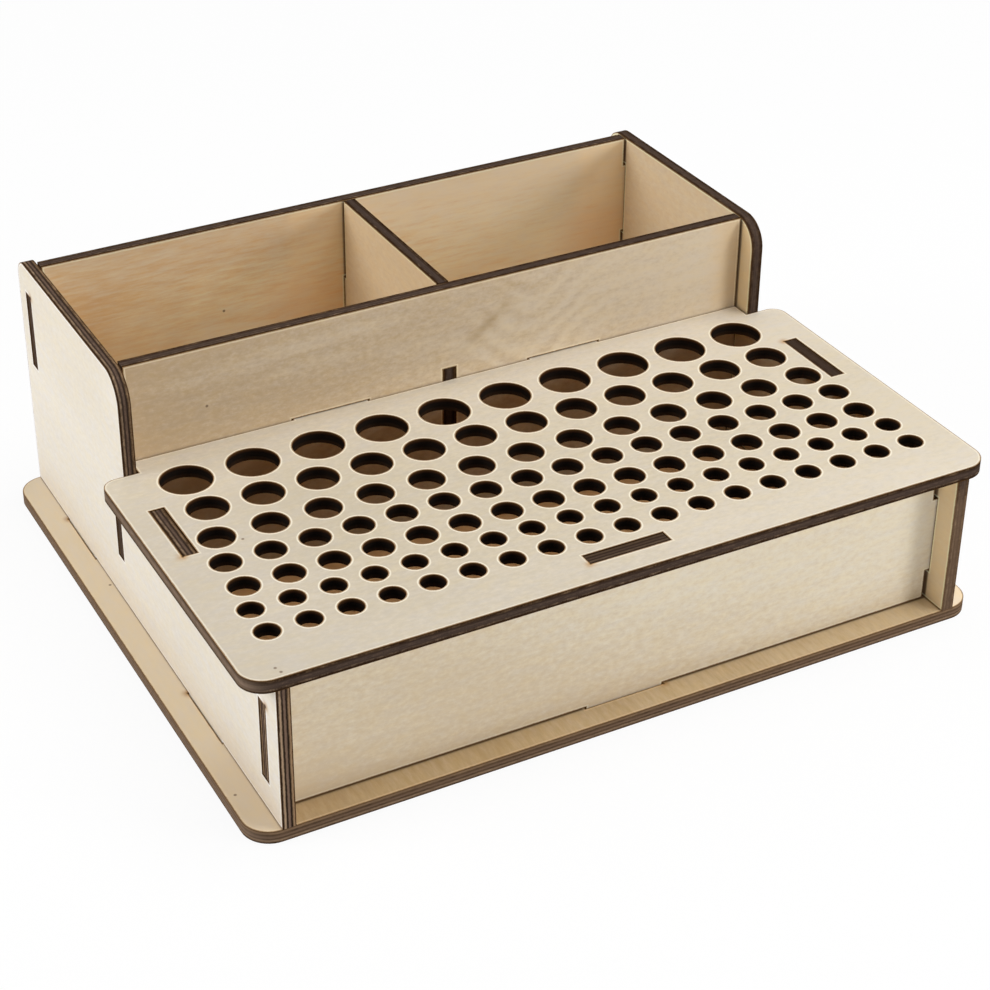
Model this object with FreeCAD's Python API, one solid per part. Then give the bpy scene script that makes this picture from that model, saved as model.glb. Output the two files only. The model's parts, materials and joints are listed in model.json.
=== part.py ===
import FreeCAD, Part
import math
import os

from FreeCAD import Vector

# Tool storage caddy: eight flat panels cut from one plywood sheet, which plug together with tabs and slots.
# A perforated tool plate covers a low well in front, and two open bins stand behind it.
# Millimetres. X runs left to right, Y front to back, Z up, from the middle of the base's underside.

# Sheet and joints
sheet_thickness = 4.8
tab_length = 30.0
slot_clearance = 0.25  # on each face, between a tab and its slot
tab_recess = 0.2  # a tab's end stops this far inside the outer face of the panel that it passes through
shoulder_gap = 0.6  # beside a tab, between a panel's edge and the face that it stands against
front_shoulder_gap = 1.5  # the same beside the front panel, which is cut a little narrow
front_foot_gap = 0.5  # under the front panel, which hangs on its side tabs just clear of the base

# Widths
outer_width = 261.0  # over the outer faces of the two sides
base_overhang = 10.0  # of the base, past each side
plate_overhang = 9.0  # of the tool plate, past each side

# Heights above the floor
plate_top = 63.5
overall_height = 101.2

# Depths, from the front edge backwards
front_setback = 9.7  # front edge to the front panel's face
front_row_setback = 23.7  # front edge to the front row of holes
riser_setback = 8.0  # front edge of the tall part to the riser's face
bin_depth = 80.3  # clear depth inside the bins
back_setback = 7.8  # back panel's rear face to the sides' back edges

# Corner radii
base_corner = 10.0
plate_front_corner = 9.0
plate_back_corner = 5.5
side_front_corner = 11.0
side_back_corner = 7.0

# Places of the tabs, each to the middle of the tab unless it says otherwise
side_foot_front = 63.6  # from the front edge
side_foot_back = 49.6  # from the back edge
side_top_tab = 40.2  # in front of the tall part
plate_rear_tab = 48.2  # each side of the middle
riser_tab_drop = 4.8  # from the plate's underside down to the tab's upper end
back_tab_drop = 11.7  # from the top edge down to the tab's upper end

# Tool holes, row by row from the riser forwards:
# tool diameter, side's outer face to the first hole, step from the row behind or the riser
tool_clearance = 0.55  # on the diameter
hole_rows = [
    (18.0, 18.3, 20.0),
    (14.0, 18.1, 20.0),
    (12.0, 13.9, 18.0),
    (10.0, 10.9, 15.0),
    (10.0, 10.9, 15.0),
    (8.0, 7.7, 13.0),
    (8.0, 7.7, 13.0),
]
hole_counts = [10, 12, 13, 16, 16, 18, 18]

# Places worked out from the sizes above
rows_depth = sum(step for diameter, margin, step in hole_rows)
riser_depth = front_row_setback + rows_depth
tall_depth = riser_depth - riser_setback
back_depth = riser_depth + sheet_thickness + bin_depth
overall_depth = back_depth + sheet_thickness + back_setback

y_front = -overall_depth / 2
y_back = overall_depth / 2
y_front_panel = y_front + front_setback
y_tall = y_front + tall_depth
y_riser = y_front + riser_depth
y_bin = y_riser + sheet_thickness
y_back_panel = y_front + back_depth

x_outer = outer_width / 2
x_inner = x_outer - sheet_thickness
plate_under = plate_top - sheet_thickness

tab_reach = sheet_thickness - tab_recess
slot_length = tab_length + 2 * slot_clearance
slot_width = sheet_thickness + 2 * slot_clearance

front_tab_z = (sheet_thickness + plate_under) / 2
riser_tab_z = plate_under - riser_tab_drop - tab_length / 2
back_tab_z = overall_height - back_tab_drop - tab_length / 2
divider_tab_z = (sheet_thickness + overall_height) / 2
foot_ys = (y_front + side_foot_front, y_back - side_foot_back)
top_tab_y = y_tall - side_top_tab
divider_foot_y = y_bin + bin_depth / 2
rear_tab_xs = (-plate_rear_tab, plate_rear_tab)


# A panel is drawn in two coordinates, and these put a point of the drawing in space
def across_x(x):
    return lambda u, v: Vector(x, u, v)


def across_y(y):
    return lambda u, v: Vector(u, y, v)


def across_z(z):
    return lambda u, v: Vector(u, v, z)


# Points of one straight edge, up to but without its end, stepping outwards over each tab.
# An outline is walked anticlockwise, so outwards is to the right. A tab is placed by its middle.
def edge(start, end, tabs=(), gap=shoulder_gap):
    axis = 0 if start[1] == end[1] else 1
    way = math.copysign(1, end[axis] - start[axis])
    points = [start]
    for middle in sorted(tabs, key=lambda place: way * place):
        for end_of_tab, reach in ((-1, 0), (-1, 1), (1, 1), (1, 0)):
            along = middle + way * end_of_tab * tab_length / 2
            out = reach * way * (gap + tab_reach)
            if axis == 0:
                points.append((along, start[1] - out))
            else:
                points.append((start[0] + out, along))
    return points


# Closed wire through right-angled corners. A corner with a third value is rounded to that radius.
def outline(points, place):
    ends = []
    for before, corner, after in zip(points[-1:] + points[:-1], points, points[1:] + points[:1]):
        radius = corner[2] if len(corner) > 2 else 0.0
        steps = []
        for other in (before, after):
            length = math.dist(other[:2], corner[:2])
            steps.append([radius * (a - b) / length for a, b in zip(other, corner[:2])])
        first = [c + s for c, s in zip(corner, steps[0])]
        last = [c + s for c, s in zip(corner, steps[1])]
        bulge = 1 - math.sqrt(0.5)
        middle = [c + bulge * (s + t) for c, s, t in zip(corner, *steps)]
        ends.append((radius, place(*first), place(*middle), place(*last)))
    edges = []
    for here, following in zip(ends, ends[1:] + ends[:1]):
        radius, first, middle, last = here
        if radius:
            edges.append(Part.Arc(first, middle, last).toShape())
        edges.append(Part.LineSegment(last, following[1]).toShape())
    return Part.Wire(edges)


def slot(u, v, u_length, v_length, place):
    corners = [(u + a * u_length / 2, v + b * v_length / 2) for a, b in ((-1, -1), (1, -1), (1, 1), (-1, 1))]
    return outline(corners, place)


# One panel: its outline with the openings in it, given the thickness of the sheet
def panel(points, openings, place):
    face = Part.makeFace([outline(points, place)] + openings, "Part::FaceMakerBullseye")
    thickness = (place(1, 0) - place(0, 0)).cross(place(0, 1) - place(0, 0))
    thickness.x, thickness.y, thickness.z = abs(thickness.x), abs(thickness.y), abs(thickness.z)
    return face.extrude(thickness * sheet_thickness)


def base_plate():
    place = across_z(0)
    x_base = x_outer + base_overhang
    points = [
        (-x_base, y_front, base_corner),
        (x_base, y_front, base_corner),
        (x_base, y_back, base_corner),
        (-x_base, y_back, base_corner),
    ]
    x_side = x_outer - sheet_thickness / 2
    openings = [slot(x, y, slot_width, slot_length, place) for x in (-x_side, x_side) for y in foot_ys]
    for y in (y_front_panel, y_riser, y_back_panel):
        openings.append(slot(0, y + sheet_thickness / 2, slot_length, slot_width, place))
    openings.append(slot(0, divider_foot_y, slot_width, slot_length, place))
    return panel(points, openings, place)


def side(x):
    place = across_x(x)
    points = edge((y_front, sheet_thickness), (y_back, sheet_thickness), foot_ys, gap=0)
    points += [
        (y_back, sheet_thickness),
        (y_back, overall_height, side_back_corner),
        (y_tall, overall_height, side_front_corner),
    ]
    points += edge((y_tall, plate_under), (y_front, plate_under), (top_tab_y,), gap=0)
    points.append((y_front, plate_under))
    openings = []
    for y, z in ((y_front_panel, front_tab_z), (y_riser, riser_tab_z), (y_back_panel, back_tab_z)):
        openings.append(slot(y + sheet_thickness / 2, z, slot_width, slot_length, place))
    return panel(points, openings, place)


# An upright wall between the sides, with one tab into each of them and one into the base
def cross_wall(y, top, tab_z, gap=shoulder_gap, foot_gap=0, top_tabs=(), openings=()):
    x_edge = x_inner - gap
    foot = sheet_thickness + foot_gap
    points = edge((-x_edge, foot), (x_edge, foot), (0,), foot_gap)
    points += edge((x_edge, foot), (x_edge, top), (tab_z,), gap)
    points += edge((x_edge, top), (-x_edge, top), top_tabs, gap=0)
    points += edge((-x_edge, top), (-x_edge, foot), (tab_z,), gap)
    return panel(points, list(openings), across_y(y))


def front_panel():
    gaps = (front_shoulder_gap, front_foot_gap)
    return cross_wall(y_front_panel, plate_under, front_tab_z, *gaps, top_tabs=(0,))


def riser_panel():
    place = across_y(y_riser)
    openings = [slot(0, divider_tab_z, slot_width, slot_length, place)]
    for x in rear_tab_xs:
        openings.append(slot(x, plate_under + sheet_thickness / 2, slot_length, slot_width, place))
    return cross_wall(y_riser, overall_height, riser_tab_z, openings=openings)


def back_panel():
    openings = [slot(0, divider_tab_z, slot_width, slot_length, across_y(y_back_panel))]
    return cross_wall(y_back_panel, overall_height, back_tab_z, openings=openings)


def divider():
    y_first = y_bin + shoulder_gap
    y_last = y_back_panel - shoulder_gap
    points = edge((y_first, sheet_thickness), (y_last, sheet_thickness), (divider_foot_y,), gap=0)
    points += edge((y_last, sheet_thickness), (y_last, overall_height), (divider_tab_z,))
    points += edge((y_last, overall_height), (y_first, overall_height))
    points += edge((y_first, overall_height), (y_first, sheet_thickness), (divider_tab_z,))
    return panel(points, [], across_x(-sheet_thickness / 2))


# Wires of the tool holes, each row spread evenly between the sides
def tool_holes(place):
    holes = []
    y = y_riser
    for count, (diameter, margin, step) in zip(hole_counts, hole_rows):
        y -= step
        x_first = margin - x_outer
        pitch = -2 * x_first / (count - 1)
        radius = (diameter + tool_clearance) / 2
        for number in range(count):
            circle = Part.Circle(place(x_first + number * pitch, y), Vector(0, 0, 1), radius)
            holes.append(Part.Wire([circle.toShape()]))
    return holes


def tool_plate():
    place = across_z(plate_under)
    x_plate = x_outer + plate_overhang
    x_tongue = x_inner - shoulder_gap
    y_notch = y_tall - slot_clearance
    y_tongue = y_riser - slot_clearance
    points = [
        (-x_plate, y_front, plate_front_corner),
        (x_plate, y_front, plate_front_corner),
        (x_plate, y_notch, plate_back_corner),
        (x_tongue, y_notch),
    ]
    points += edge((x_tongue, y_tongue), (-x_tongue, y_tongue), rear_tab_xs, gap=slot_clearance)
    points += [
        (-x_tongue, y_tongue),
        (-x_tongue, y_notch),
        (-x_plate, y_notch, plate_back_corner),
    ]
    x_side = x_outer - sheet_thickness / 2
    openings = [slot(x, top_tab_y, slot_width, slot_length, place) for x in (-x_side, x_side)]
    openings.append(slot(0, y_front_panel + sheet_thickness / 2, slot_length, slot_width, place))
    return panel(points, openings + tool_holes(place), place)


nodes = {
    "base_plate": base_plate(),
    "left_side": side(-x_outer),
    "right_side": side(x_inner),
    "front_panel": front_panel(),
    "riser_panel": riser_panel(),
    "back_panel": back_panel(),
    "divider": divider(),
    "tool_plate": tool_plate(),
}

os.makedirs("parts", exist_ok=True)
for name, shape in nodes.items():
    shape.exportStep(f"parts/{name}.step")
    print(name, shape.ShapeType, "valid" if shape.isValid() else "not valid", f"{shape.Volume:.0f} mm3")
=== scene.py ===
import json
import math

import bmesh
import bpy
from mathutils import Matrix, Vector


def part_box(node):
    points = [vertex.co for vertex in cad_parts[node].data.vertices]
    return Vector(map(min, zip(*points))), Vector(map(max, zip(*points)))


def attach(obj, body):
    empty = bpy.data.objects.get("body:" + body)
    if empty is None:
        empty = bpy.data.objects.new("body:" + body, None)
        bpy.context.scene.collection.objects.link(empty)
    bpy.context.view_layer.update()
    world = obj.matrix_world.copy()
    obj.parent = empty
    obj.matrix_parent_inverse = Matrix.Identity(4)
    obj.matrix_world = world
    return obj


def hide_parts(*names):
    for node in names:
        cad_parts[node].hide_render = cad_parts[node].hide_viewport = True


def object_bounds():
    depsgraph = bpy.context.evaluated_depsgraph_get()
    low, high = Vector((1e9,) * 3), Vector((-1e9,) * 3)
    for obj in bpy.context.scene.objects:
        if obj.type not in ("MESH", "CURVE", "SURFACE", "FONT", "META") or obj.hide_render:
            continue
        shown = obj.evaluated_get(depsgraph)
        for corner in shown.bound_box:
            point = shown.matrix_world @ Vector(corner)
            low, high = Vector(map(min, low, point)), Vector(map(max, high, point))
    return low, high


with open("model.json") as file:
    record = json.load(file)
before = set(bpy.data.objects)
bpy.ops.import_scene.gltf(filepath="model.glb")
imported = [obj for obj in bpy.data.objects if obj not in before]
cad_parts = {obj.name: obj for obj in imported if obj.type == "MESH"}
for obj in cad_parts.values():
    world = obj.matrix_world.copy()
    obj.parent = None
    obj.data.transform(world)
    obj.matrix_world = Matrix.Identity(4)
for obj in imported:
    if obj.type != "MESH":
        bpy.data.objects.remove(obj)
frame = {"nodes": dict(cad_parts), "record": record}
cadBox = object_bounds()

# Tool storage caddy in laser-cut plywood. Every panel is cut again here from the outline of its solid,
# with fine round holes, charred cut edges and a veneer that follows the sheet.
# Shapes are in metres. What is painted on a panel is placed on its own sheet, in millimetres.

mm = 0.001
sheetThickness = 4.8  # millimetres


class Wire:
    # A socket of a node tree. The operators add Math nodes, and node() adds any other.
    def __init__(self, tree, out=None):
        self.tree = tree
        self.out = out

    def node(self, kind, settings=None, inputs=None, out=0):
        made = self.tree.nodes.new(kind)
        for key, value in (settings or {}).items():
            if key == "stops":
                ramp = made.color_ramp.elements
                while len(ramp) < len(value):
                    ramp.new(1.0)
                for stop, (place, colour) in zip(ramp, value):
                    stop.position = place
                    stop.color = (*colour, 1.0)
            else:
                setattr(made, key, value)
        for key, value in (inputs or {}).items():
            for one in value if isinstance(value, list) else [value]:
                if isinstance(one, Wire):
                    self.tree.links.new(one.out, made.inputs[key])
                else:
                    made.inputs[key].default_value = one
        return Wire(self.tree, made.outputs[out])

    def other(self, out):
        return Wire(self.tree, self.out.node.outputs[out])

    def calc(self, operation, *values):
        return self.node("ShaderNodeMath", {"operation": operation}, dict(enumerate(values)))

    def __add__(self, value):
        return self.calc("ADD", self, value)

    def __radd__(self, value):
        return self.calc("ADD", value, self)

    def __sub__(self, value):
        return self.calc("SUBTRACT", self, value)

    def __rsub__(self, value):
        return self.calc("SUBTRACT", value, self)

    def __mul__(self, value):
        return self.calc("MULTIPLY", self, value)

    def __rmul__(self, value):
        return self.calc("MULTIPLY", value, self)

    def most(self, value):
        return self.calc("MAXIMUM", self, value)

    def smooth(self, low, high):  # 0 below low, 1 above high, eased between them
        between = {"Value": self, "From Min": low, "From Max": high}
        return self.node("ShaderNodeMapRange", {"interpolation_type": "SMOOTHSTEP"}, between)

    def hump(self, middle, width):  # 1 at the middle, falling away to both sides
        far = (self - middle) * (1 / width)
        return far.calc("EXPONENT", far * far * -1)

    def vector(self, x, y, z):
        return self.node("ShaderNodeCombineXYZ", None, {"X": x, "Y": y, "Z": z})

    def attribute(self, name):
        return self.node("ShaderNodeAttribute", {"attribute_name": name}, out="Fac")

    def noise(self, where, detail, roughness):  # about -1 to 1
        inputs = {"Vector": where, "Scale": 1.0, "Detail": detail, "Roughness": roughness}
        return self.node("ShaderNodeTexNoise", None, inputs) * 2 - 1

    def blend(self, share, first, second, way="MIX"):
        colours = [c if isinstance(c, Wire) else (*c, 1.0) for c in (first, second)]
        inputs = {0: share, 6: colours[0], 7: colours[1]}
        return self.node("ShaderNodeMix", {"data_type": "RGBA", "blend_type": way}, inputs, out=2)


def newMaterial(name):
    material = bpy.data.materials.new(name)
    material.use_nodes = True
    return material, material.node_tree.nodes["Principled BSDF"], Wire(material.node_tree)


def wireShader(start, shader, look, colour, roughness, height):
    relief = {"Strength": look["bump"], "Distance": look["bumpDepth"], "Height": height}
    bump = start.node("ShaderNodeBump", None, relief)
    for socket, wire in (("Base Color", colour), ("Roughness", roughness), ("Normal", bump)):
        start.tree.links.new(wire.out, shader.inputs[socket])
    shader.inputs["Specular IOR Level"].default_value = look["gloss"]


def sheetPlace(start):
    # Place on the panel's own sheet in millimetres, then its parts along u, along v and through the sheet
    metres = start.node("ShaderNodeAttribute", {"attribute_name": "sheet"}, out="Vector")
    place = start.node("ShaderNodeVectorMath", {"operation": "SCALE"}, {0: metres, "Scale": 1 / mm})
    parts = start.node("ShaderNodeSeparateXYZ", None, {0: place})
    return place, parts.other("X"), parts.other("Y"), parts.other("Z")


def boxMask(u, v, uLow, uHigh, vLow, vHigh, soft):
    # 1 inside a box on the sheet, 0 outside it
    inside = u.smooth(uLow, uLow + soft) * v.smooth(vLow, vLow + soft)
    return inside * (1 - u.smooth(uHigh - soft, uHigh)) * (1 - v.smooth(vHigh - soft, vHigh))


# Scale along the grain and across it, detail and roughness of each pattern in the veneer.
# A panel's fleck multiplies the scale of its fibres along the grain.
veneerNoise = {
    "cloud": (0.010, 0.030, 3.0, 0.5),
    "fibre": (1.0, 0.55, 5.0, 0.72),
    "swirl": (0.012, 0.030, 2.0, 0.5),
    "hue": (0.11, 0.27, 4.0, 0.7),
    "patch": (0.25, 0.25, 2.0, 0.5),
    "ragged": (1.3, 1.3, 2.0, 0.5),
}

veneerLook = {
    "faceShift": 43.0,  # moves the pattern for each millimetre through the sheet, so its two faces differ
    "panelShift": 57.3,  # and from one panel's seed to the next
    "warmth": 0.5,  # middle of the way from the pale colour to the warm one
    "warmthRange": (-0.25, 1.25),
    "cloud": 0.55,  # how far the broad clouds move the warmth
    "fibre": 1.0,  # and the fine fibres
    "ringStep": 9.0,  # millimetres between the growth lines
    "ringCloud": -1.5,  # the growth lines fade in the clouds
    "ringArch": 0.9,  # and show where they arch
    "ringRange": (-0.2, 0.9),
    "streakRange": (0.15, 1.1),
    "hueRange": (-0.6, 0.6),
    "cool": (0.98, 1.0, 1.07),  # the hue wanders between these two
    "yellow": (1.02, 1.0, 0.93),
    "faceEdge": 0.1,  # millimetres each side of the middle of the sheet, where one face's tones end
    "speckSize": 0.35,
    "speckShare": 0.75,
    "speckColour": (0.14, 0.08, 0.045),
    "rimLift": 1.42,  # the rim beside a cut is this much lighter than the face
    "rimLimit": 0.97,
    "rimPatch": 0.15,
    "rimRange": (0.05, 0.4),
    "scorchPatch": 0.1,
    "scorchRagged": 0.14,
    "scorchRange": (0.6, 0.85),
    "scorchShare": 0.9,
    "scorchColour": (0.27, 0.14, 0.042),
    "smokeReach": 4.0,  # millimetres from where the laser pierced
    "smokePatch": 0.25,
    "smokeShare": 0.85,
    "smokeColour": (0.46, 0.24, 0.07),
    "pierceRange": (0.8, 0.97),
    "pierceShare": 0.9,
    "pierceColour": (0.05, 0.025, 0.012),
    "roughness": 0.58,
    "roughFibre": 0.1,
    "bump": 0.15,
    "bumpDepth": 0.1 * mm,
    "gloss": 0.25,
}


def tonedColour(start, colour, u, v, through, look):
    # Patches of another tone, some of them painted light and shade, smudges, and soft tints of painted light
    # and shade, each in its own place on the sheet
    middle, edge = sheetThickness / 2, veneerLook["faceEdge"]
    upperFace = through.smooth(middle - edge, middle + edge)
    faces = {"both": 1.0, "low": 1 - upperFace, "high": upperFace}
    for tone, share, box, soft, face in look["tones"]:
        colour = start.blend(boxMask(u, v, *box, soft) * faces[face] * share, colour, tone)
    for tone, share, (uMiddle, vMiddle), (length, width), turn in look["smudges"]:
        lengthways = (u - uMiddle) * math.sin(turn) + (v - vMiddle) * math.cos(turn)
        sideways = (u - uMiddle) * math.cos(turn) - (v - vMiddle) * math.sin(turn)
        smudge = lengthways.hump(0.0, length) * sideways.hump(0.0, width)
        colour = start.blend(smudge * share, colour, tone)
    for lightTint, box, soft in look["paintedLightTints"]:
        colour = start.blend(boxMask(u, v, *box, soft), colour, lightTint, "MULTIPLY")
    return colour


def rimmedColour(start, colour, patch, ragged, look):
    # Pale rim beside every cut, and a thin line of scorch against the char
    rim = start.attribute("rim")
    lift = look["rim"] + start.attribute("bore") * (look.get("holeRim", look["rim"]) - look["rim"])
    rimColour = [min(veneerLook["rimLimit"], c * veneerLook["rimLift"]) for c in look["pale"]]
    paled = (rim + patch * veneerLook["rimPatch"]).smooth(*veneerLook["rimRange"])
    colour = start.blend(paled * lift, colour, rimColour)
    scorched = rim + patch * veneerLook["scorchPatch"] + ragged * veneerLook["scorchRagged"]
    scorched = scorched.smooth(*veneerLook["scorchRange"])
    return start.blend(scorched * veneerLook["scorchShare"], colour, veneerLook["scorchColour"])


def veneer(name, look, pierces):
    # Peeled face veneer: fibres, clouds and growth lines along the grain, a pale rim and smoke at the cuts
    material, shader, start = newMaterial(name)
    place, u, v, through = sheetPlace(start)
    along, across = (u, v) if look["grain"] == "u" else (v, u)
    side = across + through * veneerLook["faceShift"] + look["seed"] * veneerLook["panelShift"]

    def pattern(kind, sideways, shift=0, stretch=1.0):
        alongScale, acrossScale, detail, roughness = veneerNoise[kind]
        where = start.vector(along * (alongScale * stretch), sideways * acrossScale, look["seed"] + shift)
        return start.noise(where, detail, roughness)

    def farFrom(x, y):  # millimetres to a point on the outer face
        spot = {0: place, 1: (x, y, sheetThickness if look["outside"] == "high" else 0.0)}
        return start.node("ShaderNodeVectorMath", {"operation": "DISTANCE"}, spot, out="Value")

    # Clouds, fibres and growth lines, which show in some places and fade in others
    cloud = pattern("cloud", across)
    fibre = pattern("fibre", side, stretch=look["fleck"])
    swirl = pattern("swirl", side)
    archMiddle, archWidth, archHeight = look["arch"]
    arch = along.hump(archMiddle, archWidth)
    rings = side * (1 / veneerLook["ringStep"]) + swirl * look["swirl"] + arch * archHeight
    rings = rings * 2 * math.pi
    shown = cloud * veneerLook["ringCloud"] + arch * veneerLook["ringArch"]
    figure = rings.calc("SINE", rings) * shown.smooth(*veneerLook["ringRange"]) * look["figure"]
    # Painted light and shade: the warmth leans along u and v, paler where more light falls on the panel
    paintedLightLean = u * look["paintedLightLean"][0] + v * look["paintedLightLean"][1] + look["paintedLightLean"][2]
    warmth = veneerLook["warmth"] + paintedLightLean + cloud * veneerLook["cloud"] + fibre * veneerLook["fibre"] + figure
    colour = start.blend(warmth.smooth(*veneerLook["warmthRange"]), look["pale"], look["warm"])
    colour = tonedColour(start, colour, u, v, through, look)
    if "streakTone" in look:
        streaks = warmth.smooth(*veneerLook["streakRange"])
        colour = start.blend(streaks, colour, look["streakTone"], "MULTIPLY")
    hue = pattern("hue", side, shift=7).smooth(*veneerLook["hueRange"])
    hue = start.blend(hue, veneerLook["cool"], veneerLook["yellow"])
    colour = start.blend(1.0, colour, hue, "MULTIPLY")
    # Small dark marks
    for x, y in look["specks"]:
        speck = 1 - farFrom(x, y).smooth(veneerLook["speckSize"], veneerLook["speckSize"] * 2)
        colour = start.blend(speck * veneerLook["speckShare"], colour, veneerLook["speckColour"])
    patch = pattern("patch", across, shift=1)
    ragged = pattern("ragged", across, shift=3)
    colour = rimmedColour(start, colour, patch, ragged, look)
    # Smoke where the laser pierced the sheet, at one corner of each slot
    near = None
    for corner in pierces:
        far = farFrom(corner.x / mm, corner.y / mm) * (1 / veneerLook["smokeReach"])
        here = 1 - (far + patch * veneerLook["smokePatch"])
        near = here if near is None else near.most(here)
    if near is not None:
        smoke = near.smooth(0.0, 1.0)
        colour = start.blend(smoke * smoke * veneerLook["smokeShare"], colour, veneerLook["smokeColour"])
        pierced = near.smooth(*veneerLook["pierceRange"]) * veneerLook["pierceShare"]
        colour = start.blend(pierced, colour, veneerLook["pierceColour"])
    roughness = veneerLook["roughness"] + fibre * veneerLook["roughFibre"]
    wireShader(start, shader, veneerLook, colour, roughness, fibre)
    return material


# Scale along the edge and through the sheet, detail and roughness of each pattern in the char
charNoise = {
    "wave": (0.1, 2.5, 3.0, 0.5),
    "ragged": (0.7, 3.0, 2.0, 0.5),
    "patch": (0.25, 4.0, 3.0, 0.65),
    "streak": (2.2, 0.6, 2.0, 0.5),
}

charLook = {
    "panelShift": 61.0,  # moves the pattern from one panel's seed to the next
    "streakSeed": 9.0,  # one seed for the laser's fine lines, which only panelShift moves
    "waviness": 0.04,  # of the lines between the plies, as a share of the thickness
    "raggedness": 0.04,
    "plies": [  # colours through the sheet: three pale plies between dark glue lines, and burnt faces
        (0.00, (0.130, 0.068, 0.030)), (0.04, (0.022, 0.012, 0.007)), (0.11, (0.024, 0.014, 0.008)),
        (0.235, (0.470, 0.322, 0.205)), (0.35, (0.024, 0.015, 0.010)), (0.41, (0.024, 0.016, 0.011)),
        (0.48, (0.190, 0.122, 0.085)), (0.55, (0.200, 0.128, 0.088)), (0.66, (0.018, 0.012, 0.009)),
        (0.72, (0.024, 0.015, 0.010)), (0.86, (0.370, 0.235, 0.132)), (0.96, (0.040, 0.020, 0.010)),
        (1.00, (0.130, 0.068, 0.030)),
    ],
    "soot": [  # the same where soot covers the plies: brown rims, then nearly black, then a greyer core
        (0.00, (0.120, 0.062, 0.022)), (0.07, (0.034, 0.016, 0.007)), (0.16, (0.026, 0.013, 0.007)),
        (0.40, (0.070, 0.047, 0.037)), (0.50, (0.050, 0.034, 0.027)), (0.60, (0.068, 0.046, 0.036)),
        (0.84, (0.024, 0.012, 0.006)), (0.93, (0.032, 0.015, 0.007)), (1.00, (0.115, 0.058, 0.020)),
    ],
    "bore": [  # char up the wall of a round hole, from its lower mouth to its upper one, with painted shade making the middle nearly black
        (0.00, (0.050, 0.026, 0.013)), (0.20, (0.032, 0.018, 0.010)), (0.38, (0.009, 0.007, 0.006)),
        (0.68, (0.009, 0.007, 0.006)), (0.80, (0.034, 0.015, 0.007)), (0.92, (0.075, 0.034, 0.014)),
        (1.00, (0.130, 0.066, 0.024)),
    ],
    "boreShare": 0.9,
    "sootTurn": (0.45, 0.62),  # where along v the panel's first share of soot turns into its last
    "sootPatch": 0.6,
    "sootStreak": 0.2,
    "faded": (0.162, 0.102, 0.062),  # even brown, where the stripes have faded
    "fadedPatch": 0.5,
    "paintedSheen": (0.245, 0.172, 0.122),  # painted sheen: paler char where the left lamp shines on the edge
    "sheenReach": 5.0,  # millimetres from the lowest u
    "sheenLayer": (0.5, 0.33),  # middle and width of the painted sheen through the sheet
    "sheenShare": 0.8,
    "sheenStreak": 0.4,
    "sheenPatch": 0.7,
    "blackened": (0.040, 0.025, 0.017),
    "blackenedSoft": 2.0,
    "roughness": 0.5,
    "roughStreak": 0.12,
    "bump": 0.35,
    "bumpDepth": 0.12 * mm,
    "gloss": 0.0,
}


def charredEdge(name, look, uLow, vLow, vHigh):
    # Cut edge: burnt plies in stripes through the thickness, patchy soot, fine lines left by the laser
    material, shader, start = newMaterial(name)
    u, v, through = sheetPlace(start)[1:]
    run = u + v + look["seed"] * charLook["panelShift"]
    depth = through * (1 / sheetThickness)

    def pattern(kind, seed):
        runScale, depthScale, detail, roughness = charNoise[kind]
        return start.noise(start.vector(run * runScale, depth * depthScale, seed), detail, roughness)

    def throughSheet(key):
        return start.node("ShaderNodeValToRGB", {"stops": charLook[key]}, {0: layer})

    wave = pattern("wave", look["seed"])
    ragged = pattern("ragged", look["seed"] + 2)
    patch = pattern("patch", look["seed"] + 5)
    streak = pattern("streak", charLook["streakSeed"])
    layer = depth + wave * charLook["waviness"] + ragged * charLook["raggedness"]
    plies = throughSheet("plies")
    if "faded" in look:
        faded = (look["faded"] + patch * charLook["fadedPatch"]).smooth(0.0, 1.0)
        plies = start.blend(faded, plies, charLook["faded"])
    firstSoot, lastSoot = look["soot"]
    turns = [(vLow + share * (vHigh - vLow)) / mm for share in charLook["sootTurn"]]
    sooty = firstSoot + v.smooth(*turns) * (lastSoot - firstSoot)
    sooty = sooty + patch * charLook["sootPatch"] + streak * charLook["sootStreak"]
    colour = start.blend(sooty.smooth(0.0, 1.0), plies, throughSheet("soot"))
    # Painted sheen: the char is paler near the lowest u, where the left lamp shines on the edge
    if "paintedSheen" in look:
        paintedSheen = u.hump(uLow / mm, charLook["sheenReach"]) * layer.hump(*charLook["sheenLayer"]) * look["paintedSheen"]
        sheenStrength = charLook["sheenShare"] + streak * charLook["sheenStreak"] + patch * charLook["sheenPatch"]
        colour = start.blend(paintedSheen * sheenStrength, colour, charLook["paintedSheen"])
    for share, box in look["blackened"]:
        inside = boxMask(u, v, *box, charLook["blackenedSoft"])
        colour = start.blend(inside * share, colour, charLook["blackened"])
    colour = start.blend(start.attribute("bore") * charLook["boreShare"], colour, throughSheet("bore"))
    roughness = charLook["roughness"] + streak * charLook["roughStreak"]
    wireShader(start, shader, charLook, colour, roughness, streak + wave)
    return material


# Inputs of the tree below
cut = {
    "Thickness": sheetThickness * mm,
    "Chamfer": 0.08 * mm,
    "Rim": 1.2 * mm,
    "Hole Sides": 48,
}

# What counts as one corner, as level, round, in the middle or sharp
limits = {
    "solidMerge": 0.001 * mm,  # corners of the solid that are nearer than this are one
    "sheetMerge": 0.002 * mm,  # and corners of the finished sheet
    "facesUp": 0.99,  # least part of an upper face's normal that lies along the axis
    "sameHeight": 0.01 * mm,
    "sameRadius": 0.01 * mm,
    "roundPoints": 12,  # a round hole's outline has more points than this
    "middleZone": 50 * mm,  # slots nearer than this to the middle of u count as middle ones
    "sharpAngle": 25,  # degrees
}


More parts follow.
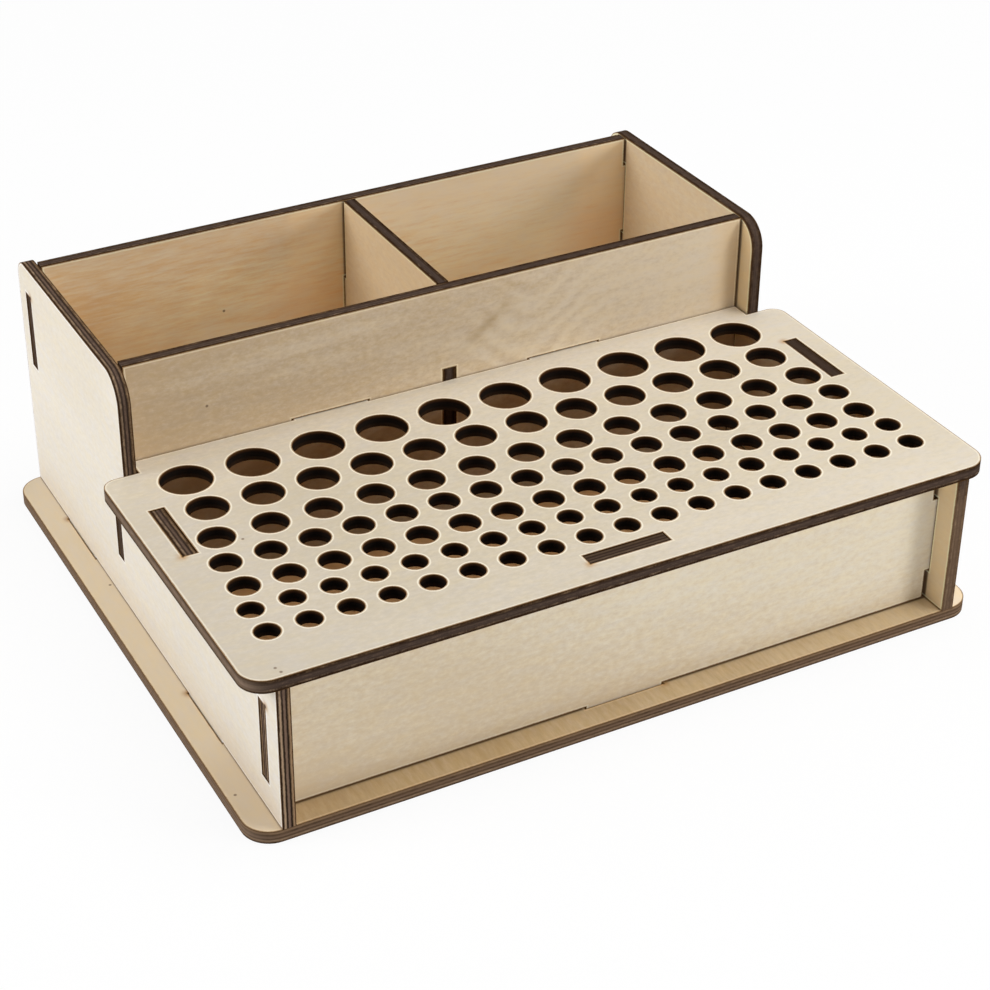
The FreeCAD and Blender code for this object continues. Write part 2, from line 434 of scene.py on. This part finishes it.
def cutSheetTree():
    # Grows a sheet from loose outlines by extruding rim, chamfer, wall, chamfer and rim, and caps each face
    tree = bpy.data.node_groups.new("cutSheet", "GeometryNodeTree")
    kinds = {"Geometry": "Geometry", "Thickness": "Float", "Chamfer": "Float", "Rim": "Float",
             "Hole Sides": "Int", "Veneer": "Material", "Char": "Material"}
    for label, kind in kinds.items():
        tree.interface.new_socket(label, in_out="INPUT", socket_type="NodeSocket" + kind)
    tree.interface.new_socket("Geometry", in_out="OUTPUT", socket_type="NodeSocketGeometry")
    start = Wire(tree)
    entry = start.node("NodeGroupInput")
    size = {label: entry.other(label) for label in kinds}

    def named(label, kind="FLOAT"):
        return start.node("GeometryNodeInputNamedAttribute", {"data_type": kind}, {"Name": label})

    def keep(shape, label, value, chosen=True, kind="FLOAT"):
        inputs = {"Geometry": shape, "Selection": chosen, "Name": label, "Value": value}
        return start.node("GeometryNodeStoreNamedAttribute", {"data_type": kind, "domain": "POINT"}, inputs)

    def shift(shape, inset, rise, chosen=True):
        inward = named("inward", "FLOAT_VECTOR")
        side = start.node("ShaderNodeVectorMath", {"operation": "SCALE"}, {0: inward, "Scale": inset})
        up = start.vector(0.0, 0.0, rise)
        total = start.node("ShaderNodeVectorMath", {"operation": "ADD"}, {0: side, 1: up})
        inputs = {"Geometry": shape, "Selection": chosen, "Offset": total}
        return start.node("GeometryNodeSetPosition", None, inputs)

    # A circle on every hole centre, scaled to its radius
    radius = named("radius")
    isHole = radius.calc("GREATER_THAN", radius, 0.0)
    holes = start.node("GeometryNodeSeparateGeometry", {"domain": "POINT"}, {0: size["Geometry"], 1: isHole})
    centres = start.node("GeometryNodeRemoveAttribute", None, {"Geometry": holes, "Name": "inward"})
    circle = start.node("GeometryNodeMeshCircle", None, {"Vertices": size["Hole Sides"], "Radius": 1.0})
    circle = keep(circle, "inward", start.node("GeometryNodeInputPosition"), kind="FLOAT_VECTOR")
    circle = keep(circle, "bore", 1.0)
    placed = {"Points": centres, "Instance": circle, "Scale": radius}
    rings = start.node("GeometryNodeInstanceOnPoints", None, placed)
    rings = start.node("GeometryNodeRealizeInstances", None, {0: rings})
    loops = start.node("GeometryNodeJoinGeometry", None, {0: [holes.other("Inverted"), rings]})
    loops = shift(loops, size["Rim"], 0.0)
    curves = start.node("GeometryNodeMeshToCurve", None, {0: loops})
    face = start.node("GeometryNodeFillCurve", None, {0: curves})
    # Rim, chamfer, wall, chamfer, rim: how far each band goes inwards and up
    wall = size["Thickness"] - size["Chamfer"] * 2
    bands = [(size["Chamfer"] - size["Rim"], 0.0), (size["Chamfer"] * -1, size["Chamfer"]), (0.0, wall),
             (size["Chamfer"], size["Chamfer"]), (size["Rim"] - size["Chamfer"], 0.0)]
    shape, edgeNow = loops, True
    for number, (inset, rise) in enumerate(bands):
        growth = {"Mesh": shape, "Selection": edgeNow, "Offset Scale": 0.0}
        grown = start.node("GeometryNodeExtrudeMesh", {"mode": "EDGES"}, growth)
        edgeNow = grown.other("Top")
        shape = shift(grown, inset, rise, edgeNow)
        if number in (0, len(bands) - 1):
            shape = keep(shape, "rim", 1.0 if number == 0 else 0.0, edgeNow)
    upper = start.vector(0.0, 0.0, size["Thickness"])
    lid = start.node("GeometryNodeTransform", None, {"Geometry": face, "Translation": upper})
    whole = start.node("GeometryNodeJoinGeometry", None, {0: [shape, face, lid]})
    merged = {"Geometry": whole, "Distance": limits["sheetMerge"]}
    whole = start.node("GeometryNodeMergeByDistance", None, merged)
    whole = keep(whole, "sheet", start.node("GeometryNodeInputPosition"), kind="FLOAT_VECTOR")
    for label in ("inward", "radius"):
        whole = start.node("GeometryNodeRemoveAttribute", None, {"Geometry": whole, "Name": label})
    whole = start.node("GeometryNodeRealizeInstances", None, {0: whole})
    whole = start.node("GeometryNodeSetMaterial", None, {"Geometry": whole, "Material": size["Veneer"]})
    rim = named("rim")
    atCut = rim.calc("GREATER_THAN", rim, 0.9)  # the rim is 1 all over the chamfers and the wall
    burnt = {"Geometry": whole, "Selection": atCut, "Material": size["Char"]}
    whole = start.node("GeometryNodeSetMaterial", None, burnt)
    tree.links.new(whole.out, tree.nodes.new("NodeGroupOutput").inputs[0])
    return tree


def panelLoops(node, axis, high):
    # Closed outlines of a panel's upper face, walked with the sheet on the left, as points along u and v
    solid = bmesh.new()
    solid.from_mesh(frame["nodes"][node].data)
    bmesh.ops.remove_doubles(solid, verts=solid.verts, dist=limits["solidMerge"])
    u, v = (axis + 1) % 3, (axis + 2) % 3
    lowest = high - limits["sameHeight"]
    facing = [f for f in solid.faces if f.normal[axis] > limits["facesUp"]]
    top = [f for f in facing if f.calc_center_median()[axis] > lowest]
    inTop = set(top)
    following = {}
    for face in top:
        for corner in face.loops:
            if not any(other in inTop for other in corner.edge.link_faces if other is not face):
                following[corner.vert] = corner.link_loop_next.vert
    loops = []
    while following:
        before, here = following.popitem()
        points = [before, here]
        while here in following:
            here = following.pop(here)
            points.append(here)
        loops.append([Vector((p.co[u], p.co[v])) for p in points[:-1]])
    solid.free()
    return loops


def isRound(loop):
    middle = sum(loop, Vector((0, 0))) / len(loop)
    reaches = [(p - middle).length for p in loop]
    return len(loop) > limits["roundPoints"] and max(reaches) - min(reaches) < limits["sameRadius"]


def inwardAt(before, here, after):
    # Direction in which a corner moves when its two edges both move inwards by one unit
    sides = [Vector((a.y - b.y, b.x - a.x)).normalized() for a, b in ((before, here), (here, after))]
    return (sides[0] + sides[1]) / (1 + sides[0].dot(sides[1]))


def pierceCorner(loop, ways):
    # The corner of a slot where the laser went in is the one furthest along the way for slots in that place
    middle = sum(p.x for p in loop) / len(loop)
    lowWay, middleWay, highWay = ways
    way = middleWay
    if abs(middle) > limits["middleZone"]:
        way = lowWay if middle < 0 else highWay
    return max(loop, key=Vector(way).dot)


def recordedHoles(u, v):
    # Centre and radius of every bore in the record
    bores = [mount for mount in frame["record"]["mounts"] if mount["kind"] == "bore"]
    return [((bore["pos_m"][u], bore["pos_m"][v]), bore["dims"]["r_mm"] * mm) for bore in bores]


def wireMesh(node, loops, holes):
    # Loose edges round every outline, with the way into the sheet, and a point with a radius for every hole
    places, inward, radii, edges = [], [], [], []
    for loop in loops:
        first = len(places)
        for number, here in enumerate(loop):
            following = (number + 1) % len(loop)
            places.append((*here, 0.0))
            inward += (*inwardAt(loop[number - 1], here, loop[following]), 0.0)
            radii.append(0.0)
            edges.append((first + number, first + following))
    for centre, radius in holes:
        places.append((*centre, 0.0))
        inward += (0.0, 0.0, 0.0)
        radii.append(radius)
    wires = bpy.data.meshes.new(node + "Wires")
    wires.from_pydata(places, edges, [])
    wires.attributes.new("inward", "FLOAT_VECTOR", "POINT").data.foreach_set("vector", inward)
    wires.attributes.new("radius", "FLOAT", "POINT").data.foreach_set("value", radii)
    return wires


def growSheet(piece, tree, values):
    # The tree's result becomes the piece's plain mesh, facing outwards
    wires = piece.data
    modifier = piece.modifiers.new("cutSheet", "NODES")
    modifier.node_group = tree
    for item in tree.interface.items_tree:
        if item.name in values:
            modifier[item.identifier] = values[item.name]
    grown = piece.evaluated_get(bpy.context.evaluated_depsgraph_get())
    made = bpy.data.meshes.new_from_object(grown)
    piece.modifiers.clear()
    piece.data = made
    bpy.data.meshes.remove(wires)
    fair = bmesh.new()
    fair.from_mesh(made)
    bmesh.ops.recalc_face_normals(fair, faces=fair.faces)
    fair.to_mesh(made)
    fair.free()
    return made


def cutPanel(node, look, tree):
    low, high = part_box(node)
    axis = min(range(3), key=lambda i: high[i] - low[i])  # through the sheet
    u, v = (axis + 1) % 3, (axis + 2) % 3
    loops = [loop for loop in panelLoops(node, axis, high[axis]) if not isRound(loop)]
    outer = max(loops, key=lambda loop: max(p.x for p in loop) - min(p.x for p in loop))
    pierces = [pierceCorner(loop, look["pierce"]) for loop in loops if loop is not outer]
    holes = recordedHoles(u, v) if look["holes"] else []
    piece = bpy.data.objects.new(node + "Cut", wireMesh(node, loops, holes))
    bpy.context.scene.collection.objects.link(piece)
    face = veneer(node + "Veneer", look, pierces)
    edge = charredEdge(node + "Char", look, low[u], low[v], high[v])
    made = growSheet(piece, tree, {**cut, "Veneer": face, "Char": edge})
    turn = Matrix.Identity(4)
    for column, side in enumerate((u, v, axis)):
        turn.col[column] = [1.0 if i == side else 0.0 for i in range(4)]
    lift = Matrix.Translation([low[i] if i == axis else 0.0 for i in range(3)])
    made.transform(lift @ turn)
    made.shade_smooth()
    made.set_sharp_from_angle(angle=math.radians(limits["sharpAngle"]))
    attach(piece, "root")
    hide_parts(node)
    print("cut", node, len(made.polygons), "faces")


# What every panel has unless its own entry says otherwise. u and v run to the back and up on the sides and
# the divider, up and across on the walls, and across and back on the plates.
plainPanel = {
    "slot": "pale_plywood",
    "grain": "v",  # side of the sheet that the grain runs along
    "fleck": 0.3,  # larger for shorter fibres
    "swirl": 0.8,  # how far the growth lines wander
    "figure": 0.1,  # and how strong they are
    "arch": (0.0, 1.0, 0.0),  # where along the grain they arch, how widely and how far
    "paintedLightLean": (0.0, 0.0, 0.0),  # painted light and shade: change of warmth for each millimetre of u and of v, and all over
    "rim": 0.5,  # how much of the pale rim shows at the cuts
    "outside": "low",  # face with the specks and the smoke, at the low or the high end of its axis
    "specks": [],  # places
    "tones": [],  # colour, share, box from low u to high u and low v to high v, softness of its edge, face
    "smudges": [],  # colour, share, middle, length and width, turn
    "paintedLightTints": [],  # painted light and shade: factor on the colour, box, softness of its edge
    "pierce": [(-0.2, 1), (-0.2, 1), (-0.2, 1)],  # way to a slot's pierced corner, at low, middle and high u
    "blackened": [],  # share and box on the cut edge
    "holes": False,  # True where the record's bores go through the panel
}

# Dark seams: char at the joints, with painted shade in the gaps between the parts
seamCharAndShade = (0.16, 0.08, 0.032)
# Painted warm bounce light at the right ends of the bins
cornerBounceColour = (0.98, 0.74, 0.44)
# Painted light on the base's strips outside the sides
litStripColour = (0.89, 0.76, 0.57)
reflectedColour = (0.86, 0.66, 0.38)
sideTab = (-46.0, -10.0, 58.0, 66.0)
frontTab = (56.0, 68.0, -18.0, 18.0)

# Each panel has a seed, its pale and warm colours, and its soot as first and last share along v.
# Some have shares of painted sheen and of faded on the cut edge, and holeRim, which is rim at the round
# holes.
panels = {
    "base_plate": {
        "slot": "tan_plywood", "seed": 1.0, "fleck": 0.12, "swirl": 0.6, "rim": 0.3, "outside": "high",
        "paintedLightLean": (-0.003, 0.0, 0.0), "pale": (0.66, 0.512, 0.323), "warm": (0.50, 0.35, 0.18),
        "soot": (0.0, 0.1), "paintedSheen": 0.85, "faded": 0.55,
        "pierce": [(-1, 1), (1, -0.2), (-1, 1)],
        "specks": [(-132.0, 34.5), (-137.2, -95.3)],
        "tones": [
            (litStripColour, 0.85, (-142, -126, -120, 120), 2.0, "both"),  # painted light on the strip outside the left side
            (litStripColour, 0.85, (126, 142, -120, 120), 2.0, "both"),  # painted light on the strip outside the right side
            ((0.74, 0.41, 0.17), 0.9, (-126, 126, -105, 13), 2.0, "both"),  # painted warm bounce light on the floor of the closed well
            (seamCharAndShade, 0.85, (-126.5, 126.5, -108.7, -102.5), 0.9, "high"),  # char and painted shade in the seam under the front panel
            (seamCharAndShade, 0.6, (-131.2, -125.5, -118, 118), 0.9, "high"),  # char and painted shade in the seam under the left side
            (seamCharAndShade, 0.85, (124.8, 131.2, -118, 118), 0.9, "high"),  # char and painted shade in the seam under the right side
        ],
        # Painted shade at the front left of the base
        "paintedLightTints": [((0.91, 0.885, 0.86), (-230, -90, -230, -62), 30.0)],
    },
    "left_side": {
        "grain": "u", "seed": 2.0, "rim": 0.6,
        "pale": (0.84, 0.78, 0.68), "warm": (0.75, 0.68, 0.57),
        "soot": (0.0, 0.48), "blackened": [(0.15, sideTab)],
        "paintedLightTints": [
            ((0.94, 0.92, 0.90), (-190, -60, -30, 26), 22.0),  # painted shade on the front foot
            ((0.985, 0.965, 0.945), (-190, 190, -30, 26), 20.0),  # painted shade all along the foot
            ((0.95, 0.935, 0.90), (5, 190, 55, 150), 40.0),  # painted shade at the top of the tall part
        ],
    },
    "right_side": {
        "grain": "u", "seed": 3.0, "rim": 0.6, "outside": "high",
        "pale": (0.82, 0.69, 0.49), "warm": (0.73, 0.57, 0.37),
        "soot": (0.3, 0.8), "faded": 0.75, "blackened": [(0.6, sideTab)],
        "tones": [
            (reflectedColour, 0.5, (-120.0, -106.0, 0.0, 62.0), 2.0, "low"),  # strip before the front panel
            (seamCharAndShade, 0.85, (-108.6, -101.0, 0.0, 60.0), 0.9, "low"),  # char and painted shade in the seam at the front panel
            (reflectedColour, 0.7, (8.0, 21.0, 58.0, 104.0), 2.0, "low"),  # strip before the riser
            (seamCharAndShade, 0.7, (18.9, 25.9, 58.0, 102.5), 0.9, "low"),  # char and painted shade in the seam at the riser
            (seamCharAndShade, 0.8, (104.0, 111.0, 0.0, 102.5), 0.9, "low"),  # char and painted shade in the seam at the back panel
        ],
    },
    "front_panel": {
        "seed": 4.0, "swirl": 1.4, "figure": 0.12, "rim": 0.3,
        "paintedLightLean": (-0.012, -0.003, 0.36), "pale": (0.81, 0.73, 0.577), "warm": (0.655, 0.53, 0.364),
        "soot": (0.3, 0.45), "blackened": [(0.75, frontTab)],
    },
    "riser_panel": {
        "seed": 5.0, "swirl": 1.6, "figure": 0.2, "arch": (34.0, 20.0, 2.4),
        "paintedLightLean": (0.0, -0.004, 0.0), "pale": (0.72, 0.60, 0.44), "warm": (0.53, 0.39, 0.24),
        "soot": (0.74, 0.84),
        "specks": [(77.9, -95.5)],
        "tones": [((0.74, 0.54, 0.31), 0.55, (58, 120, 108, 140), 12.0, "low")],  # painted warm bounce light beside the right side
        "smudges": [
            ((0.40, 0.27, 0.13), 0.55, (82.3, 15.0), (9.0, 2.2), 0.65),
            ((0.72, 0.61, 0.46), 0.45, (80.5, 23.0), (11.0, 3.2), 0.75),
        ],
        # Painted light: the riser is lighter, except near its top and its right end
        "paintedLightTints": [((1.14, 1.15, 1.15), (30, 88, -170, 75), 30.0)],
    },
    "back_panel": {
        "slot": "tan_plywood", "seed": 6.0, "fleck": 0.07, "swirl": 1.6, "figure": 0.2,
        "paintedLightLean": (-0.0055, -0.003, 0.32), "pale": (0.90, 0.75, 0.53), "warm": (0.77, 0.52, 0.27),
        "streakTone": (0.96, 0.84, 0.70),  # factor on the colour in the warm streaks, over the tones
        "soot": (0.74, 0.74),
        "specks": [(65.5, -54.4)],
        "tones": [
            ((0.99, 0.82, 0.555), 0.95, (-40, 92, -190, 190), 50.0, "low"),  # painted light: paler and yellower deep in the bins
            ((0.75, 0.61, 0.42), 0.65, (60, 160, -190, 190), 45.0, "low"),  # painted shade: darker near the top edge
            (cornerBounceColour, 0.45, (-10, 120, -30, 4), 8.0, "low"),  # painted warm bounce light at the right end of the left bin
            (cornerBounceColour, 0.45, (-10, 120, 100, 132), 8.0, "low"),  # painted warm bounce light at the right end of the right bin
            (seamCharAndShade, 0.8, (0, 102, -3.3, 3.3), 0.9, "low"),  # char and painted shade in the seam behind the divider
            ((0.86, 0.73, 0.53), 0.75, (-40, 150, -190, 190), 20.0, "high"),  # the outer face is even
        ],
        "paintedLightTints": [
            ((1.04, 1.08, 1.09), (52, 94, -105, 110), 16.0),  # painted light across both bins
            ((0.96, 0.89, 0.85), (40, 80, 88, 150), 14.0),  # painted shade at the right end of the right bin
            ((0.97, 0.91, 0.88), (40, 80, -44, 16), 14.0),  # painted shade at the right end of the left bin
            ((1.10, 1.13, 1.14), (60, 90, -75, -20), 12.0),  # painted light on the right half of the left bin
        ],
    },
    "divider": {
        "slot": "tan_plywood", "grain": "u", "seed": 7.0, "swirl": 1.0,
        "pale": (0.80, 0.64, 0.42), "warm": (0.71, 0.53, 0.32),
        "soot": (0.88, 0.88),
        # Painted light: the divider is lighter low down
        "paintedLightTints": [((1.21, 1.23, 1.21), (-40, 190, -50, 68), 24.0)],
    },
    "tool_plate": {
        "grain": "u", "seed": 8.0, "swirl": 1.2, "figure": 0.12, "rim": 0.4, "holeRim": 0.75,
        "outside": "high", "holes": True,
        "paintedLightLean": (-0.0035, 0.0, 0.0), "pale": (0.71, 0.63, 0.51), "warm": (0.573, 0.503, 0.398),
        "soot": (0.78, 0.78), "paintedSheen": 1.0,
        "pierce": [(-1, -1), (-1, -1), (-1, 1)],
        "specks": [(-128.2, -112.5), (-127.4, -115.1), (-109.3, -42.9), (82.3, -39.5)],
        "paintedLightTints": [
            ((0.94, 0.925, 0.875), (-118, 210, -120, 10), 42.0),  # painted shade on all but the left end
            ((1.06, 1.06, 1.05), (-230, 20, -35, 60), 35.0),  # painted light on the left half of the rear rows
        ],
    },
}

tree = cutSheetTree()
for node, look in panels.items():
    cutPanel(node, {**plainPanel, **look}, tree)
print("panels done:", len(panels))


def seenAsWhite(start):
    # 1 for the camera and for what gloss and glass show, 0 for the light that falls on the object
    path = start.node("ShaderNodeLightPath")
    return path.most(path.other("Is Glossy Ray")).most(path.other("Is Transmission Ray"))


# White floor that runs out past the frame and keeps a share of the shadow
floorLook = {
    "reach": 6.0,  # metres from the middle to each side
    "colour": (0.88, 0.88, 0.88),
    "roughness": 0.9,
    "shadow": 0.08,
    "gap": 0.05 * mm,  # under the base
}


def makeFloor():
    material, shader, start = newMaterial("paleFloor")
    shader.inputs["Base Color"].default_value = (*floorLook["colour"], 1.0)
    shader.inputs["Roughness"].default_value = floorLook["roughness"]
    lit = Wire(material.node_tree, shader.outputs[0])
    white = start.node("ShaderNodeEmission", None, {"Color": (1, 1, 1, 1), "Strength": 1.0})
    share = seenAsWhite(start) * (1 - floorLook["shadow"])
    mixed = start.node("ShaderNodeMixShader", None, {0: share, 1: lit, 2: white})
    material.node_tree.links.new(mixed.out, material.node_tree.nodes["Material Output"].inputs["Surface"])
    reach = floorLook["reach"]
    corners = [(-reach, -reach, 0), (reach, -reach, 0), (reach, reach, 0), (-reach, reach, 0)]
    mesh = bpy.data.meshes.new("floor")
    mesh.from_pydata(corners, [], [(0, 1, 2, 3)])
    mesh.materials.append(material)
    floor = bpy.data.objects.new("floor", mesh)
    bpy.context.scene.collection.objects.link(floor)
    floor.location.z = cadBox[0].z - floorLook["gap"]


# A broad lamp overhead, a low one at the left and a low one at the front right
worldLight = 0.34
lamps = {
    "overhead": {"place": (0.55, -0.17, 1.5), "size": 1.2, "watts": 14.0},
    "left": {"place": (-1.2, 0.35, 0.66), "size": 0.8, "watts": 9.0},
    "frontRight": {"place": (0.95, -0.95, 0.42), "size": 0.5, "watts": 6.6},
}


def makeLights():
    world = bpy.data.worlds.new("studio")
    bpy.context.scene.world = world
    world.use_nodes = True
    strength = worldLight + seenAsWhite(Wire(world.node_tree)) * (1 - worldLight)
    back = world.node_tree.nodes["Background"]
    back.inputs["Color"].default_value = (1, 1, 1, 1)
    world.node_tree.links.new(strength.out, back.inputs["Strength"])
    aim = (cadBox[0] + cadBox[1]) / 2
    for name, look in lamps.items():
        lamp = bpy.data.lights.new(name, "AREA")
        lamp.shape = "DISK"
        lamp.size = look["size"]
        lamp.energy = look["watts"]
        holder = bpy.data.objects.new(name, lamp)
        holder.location = look["place"]
        holder.rotation_euler = (aim - holder.location).to_track_quat("-Z", "Y").to_euler()
        bpy.context.scene.collection.objects.link(holder)


view = {
    "place": (-0.33724, -0.63136, 0.4799),
    "look": (0.3806, 0.7740, -0.5061),
    "up": (0.2347, 0.4485, 0.8624),
    "focal": 2287.8,  # in pixels of the picture
    "centre": (408.7, 412.3),  # pixel on the lens axis
    "pixels": 990,
    "sensor": 36.0,  # millimetres
    "farthest": 50.0,  # metres that the camera sees
}


def makeCamera():
    data = bpy.data.cameras.new("camera")
    data.sensor_width = view["sensor"]
    data.lens = view["focal"] / view["pixels"] * data.sensor_width
    data.shift_x = 0.5 - view["centre"][0] / view["pixels"]
    data.shift_y = view["centre"][1] / view["pixels"] - 0.5
    data.clip_end = view["farthest"]
    back = -Vector(view["look"]).normalized()
    right = Vector(view["up"]).cross(back).normalized()
    camera = bpy.data.objects.new("camera", data)
    turn = Matrix((right, back.cross(right), back)).transposed().to_4x4()
    camera.matrix_world = Matrix.Translation(view["place"]) @ turn
    bpy.context.scene.collection.objects.link(camera)
    bpy.context.scene.camera = camera


makeFloor()
makeLights()
makeCamera()
bpy.context.scene.view_settings.view_transform = "Standard"
print("floor, lights and camera set")
